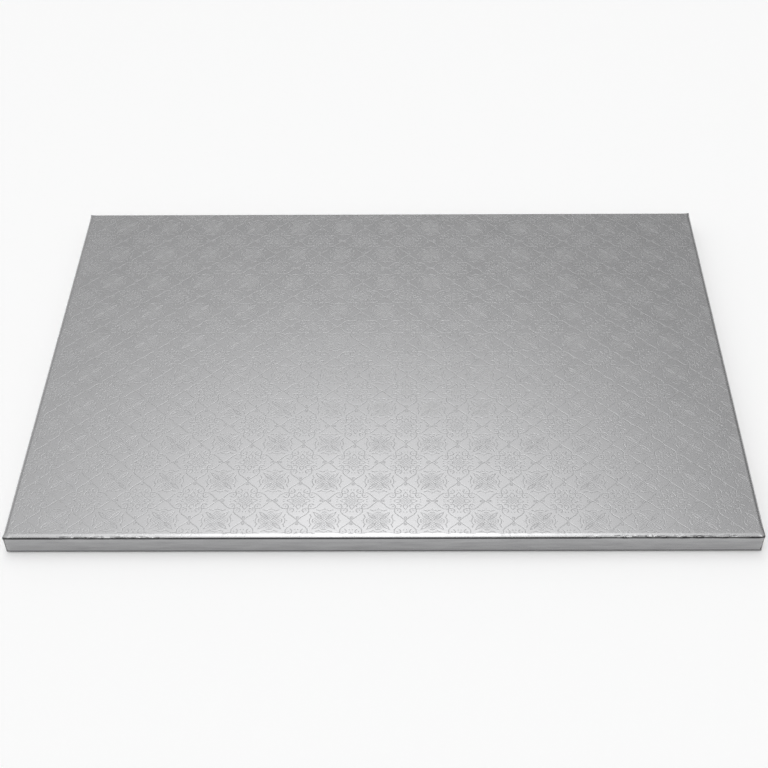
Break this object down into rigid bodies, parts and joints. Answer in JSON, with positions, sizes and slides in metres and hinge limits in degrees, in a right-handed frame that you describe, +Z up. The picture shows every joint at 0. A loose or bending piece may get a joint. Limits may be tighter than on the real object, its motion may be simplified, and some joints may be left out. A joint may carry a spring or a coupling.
{
  "type": "cake board",
  "caption": "Rectangular thick cake board: a rigid pulpboard slab wrapped in silver foil paper embossed with scrollwork, with a white base paper.",
  "frame": {"origin": "middle of the underside, at the centre of the board's outline", "axes": "+Z up out of the foil side, +X along the longer side, +Y from the front edge to the back"},
  "size_m": [0.3556, 0.254, 0.0111],
  "materials": {
    "silver_foil": "embossed silver foil laminated on paper, satin",
    "pulpboard": "rigid grey pulpboard",
    "white_paper": "plain uncoated white paper"
  },
  "bodies": {
    "root": {"foil_wrap": "silver_foil", "core_board": "pulpboard", "base_paper": "white_paper"}
  },
  "joints": []
}
